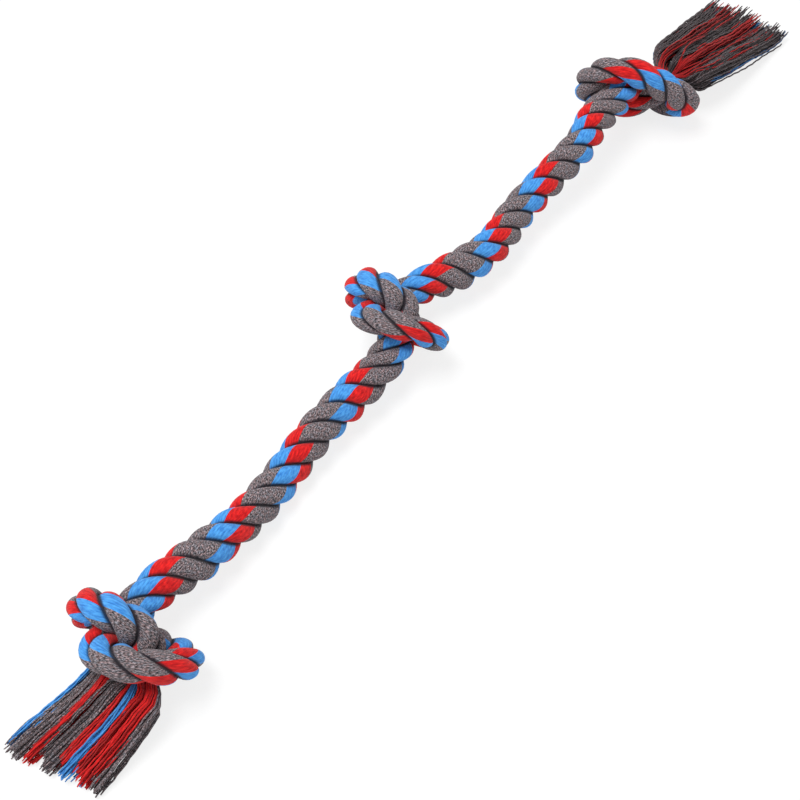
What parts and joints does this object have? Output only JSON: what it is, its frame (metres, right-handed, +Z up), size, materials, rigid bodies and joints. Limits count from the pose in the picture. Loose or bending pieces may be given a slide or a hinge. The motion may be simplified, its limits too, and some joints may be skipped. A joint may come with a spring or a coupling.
{
  "type": "rope dog toy",
  "caption": "Tug toy tied from one length of laid cotton rope, with overhand knots, bare spans between them and a frayed tassel at each end.",
  "frame": {"origin": "centre of the footprint's bounding box, on the surface that the toy lies on", "axes": "+X along the toy from its short tassel to its long one, +Z up from the surface"},
  "size_m": [0.7148, 0.0998, 0.0576],
  "materials": {
    "laid_strand": "twisted cotton yarn, a quarter blue, a quarter red and half heather grey",
    "blue_yarn": "dyed cotton yarn",
    "red_yarn": "dyed cotton yarn",
    "grey_yarn": "heather cotton yarn"
  },
  "bodies": {
    "root": {"lower_knot_strand_1": "laid_strand", "lower_knot_strand_2": "laid_strand", "lower_knot_strand_3": "laid_strand", "lower_span_strand_1": "laid_strand", "lower_span_strand_2": "laid_strand", "lower_span_strand_3": "laid_strand", "middle_knot_strand_1": "laid_strand", "middle_knot_strand_2": "laid_strand", "middle_knot_strand_3": "laid_strand", "upper_span_strand_1": "laid_strand", "upper_span_strand_2": "laid_strand", "upper_span_strand_3": "laid_strand", "upper_knot_strand_1": "laid_strand", "upper_knot_strand_2": "laid_strand", "upper_knot_strand_3": "laid_strand", "lower_tassel_strand_1_blue_yarn": "blue_yarn", "lower_tassel_strand_1_red_yarn": "red_yarn", "lower_tassel_strand_1_grey_yarn": "grey_yarn", "lower_tassel_strand_2_blue_yarn": "blue_yarn", "lower_tassel_strand_2_red_yarn": "red_yarn", "lower_tassel_strand_2_grey_yarn": "grey_yarn", "lower_tassel_strand_3_blue_yarn": "blue_yarn", "lower_tassel_strand_3_red_yarn": "red_yarn", "lower_tassel_strand_3_grey_yarn": "grey_yarn", "upper_tassel_strand_1_blue_yarn": "blue_yarn", "upper_tassel_strand_1_red_yarn": "red_yarn", "upper_tassel_strand_1_grey_yarn": "grey_yarn", "upper_tassel_strand_2_blue_yarn": "blue_yarn", "upper_tassel_strand_2_red_yarn": "red_yarn", "upper_tassel_strand_2_grey_yarn": "grey_yarn", "upper_tassel_strand_3_blue_yarn": "blue_yarn", "upper_tassel_strand_3_red_yarn": "red_yarn", "upper_tassel_strand_3_grey_yarn": "grey_yarn"}
  },
  "joints": []
}
